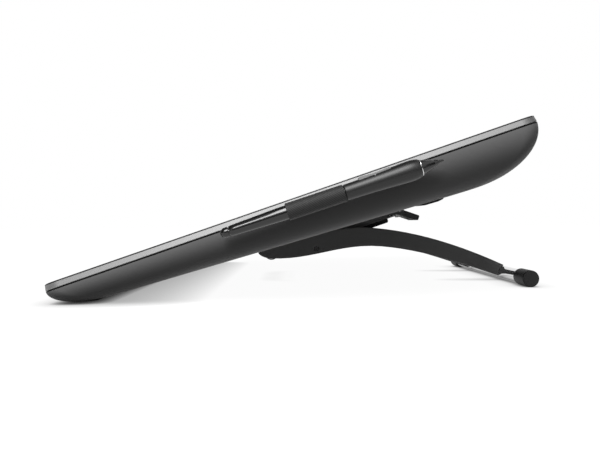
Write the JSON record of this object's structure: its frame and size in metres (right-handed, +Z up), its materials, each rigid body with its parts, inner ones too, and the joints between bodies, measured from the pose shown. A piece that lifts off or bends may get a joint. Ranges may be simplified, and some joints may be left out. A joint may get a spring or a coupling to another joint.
{
  "type": "pen display",
  "caption": "Tilted pen display with a tapering dark shell, a folding rear stand with a release lever and a capped foot bar, and a pen held in a woven side loop.",
  "frame": {"origin": "middle of the front foot's flat, on the desk", "axes": "+X to the user's right along the display, +Y away from the user, +Z up"},
  "size_m": [0.5864, 0.3856, 0.1314],
  "materials": {
    "cover_glass": "etched anti-glare glass with a black border print",
    "side_band": "fine satin, light grey",
    "panel_glass": "polarised panel",
    "film": "thin film",
    "clear_acrylic": "polished",
    "circuit_board": "solder mask",
    "bare_metal": "plain",
    "steel": "plain",
    "black_metal": "fine powder coat, black",
    "chrome": "polished",
    "rubber": "matt",
    "housing": "fine grain, very dark grey",
    "black_plastic": "fine grain",
    "pen_plastic": "satin, near black",
    "pen_grip": "soft touch",
    "webbing": "fine woven elastic"
  },
  "bodies": {
    "display": {"cover_glass": "cover_glass", "front_frame": "side_band", "lcd_cell": "panel_glass", "diffuser_sheets": "film", "light_guide": "clear_acrylic", "led_bar": "circuit_board", "panel_tray": "bare_metal", "sensor_board": "circuit_board", "shield_plate": "steel", "mid_frame": "bare_metal", "display_flex": "film", "main_board": "circuit_board", "dc_jack": "black_plastic", "hdmi_socket": "steel", "usb_socket": "steel", "port_bay": "housing", "vent_grille": "black_plastic", "rear_cover": "housing", "case_screws": "steel", "front_foot": "rubber", "rear_feet": "rubber", "button_switch": "circuit_board", "power_led": "clear_acrylic", "pen_loop": "webbing", "loop_clip": "black_plastic", "stand_base": "black_metal", "base_cover": "black_plastic", "base_screws": "steel", "lever_pin": "steel"},
    "leg": {"arm_right": "black_metal", "arm_left": "black_metal", "leg_web": "black_metal", "web_screws": "steel", "hinge_pin": "steel", "hinge_washers": "steel", "stop_bumpers": "rubber", "foot_bar": "chrome", "foot_cap_right": "rubber", "foot_cap_left": "rubber", "brake_drum": "steel"},
    "lever": {"release_lever": "black_plastic", "lever_crank": "bare_metal"},
    "brake": {"brake_shoe": "steel", "pull_rod": "steel", "brake_spring": "steel"},
    "pen": {"pen_barrel": "pen_plastic", "pen_grip": "pen_grip", "pen_ring": "chrome", "pen_nose": "pen_plastic", "pen_core": "circuit_board"},
    "nib": {"pen_nib": "pen_plastic"},
    "side_switch": {"pen_switch": "black_plastic"},
    "eraser": {"pen_eraser": "pen_plastic"},
    "button": {"power_button": "black_plastic"}
  },
  "joints": [
    {"name": "leg_tilt", "type": "hinge", "parent": "display", "child": "leg", "pos_m": [0, 0.13221, 0.02702], "axis": [-1, 0, 0], "range_deg": [0, 90]},
    {"name": "lever_press", "type": "hinge", "parent": "display", "child": "lever", "pos_m": [0, 0.26223, 0.06832], "axis": [1, 0, 0], "range_deg": [0, 15]},
    {"name": "brake_release", "type": "slide", "parent": "display", "child": "brake", "axis": [0, 0.9466, 0.3223], "range_m": [0, 0.001], "stiffness_N_per_m": 3000, "springref_m": -0.002},
    {"name": "pen_slide", "type": "slide", "parent": "display", "child": "pen", "axis": [0, 0.9505, 0.3107], "range_m": [0, 0.1]},
    {"name": "pen_switch_rock", "type": "hinge", "parent": "pen", "child": "side_switch", "pos_m": [0.2942, 0.21152, 0.08867], "axis": [1, 0, 0], "range_deg": [-3, 3], "stiffness_Nm_per_rad": 0.05},
    {"name": "nib_press", "type": "slide", "parent": "pen", "child": "nib", "axis": [0, -0.9505, -0.3107], "range_m": [0, 0.0005], "stiffness_N_per_m": 600},
    {"name": "eraser_press", "type": "slide", "parent": "pen", "child": "eraser", "axis": [0, 0.9505, 0.3107], "range_m": [0, 0.0006], "stiffness_N_per_m": 600},
    {"name": "power_press", "type": "slide", "parent": "display", "child": "button", "axis": [0, -0.9466, -0.3223], "range_m": [0, 0.0007], "stiffness_N_per_m": 700}
  ],
  "couplings": [
    {"joint": "lever_press", "follows": "brake_release", "rad_per_m": 243.9}
  ]
}
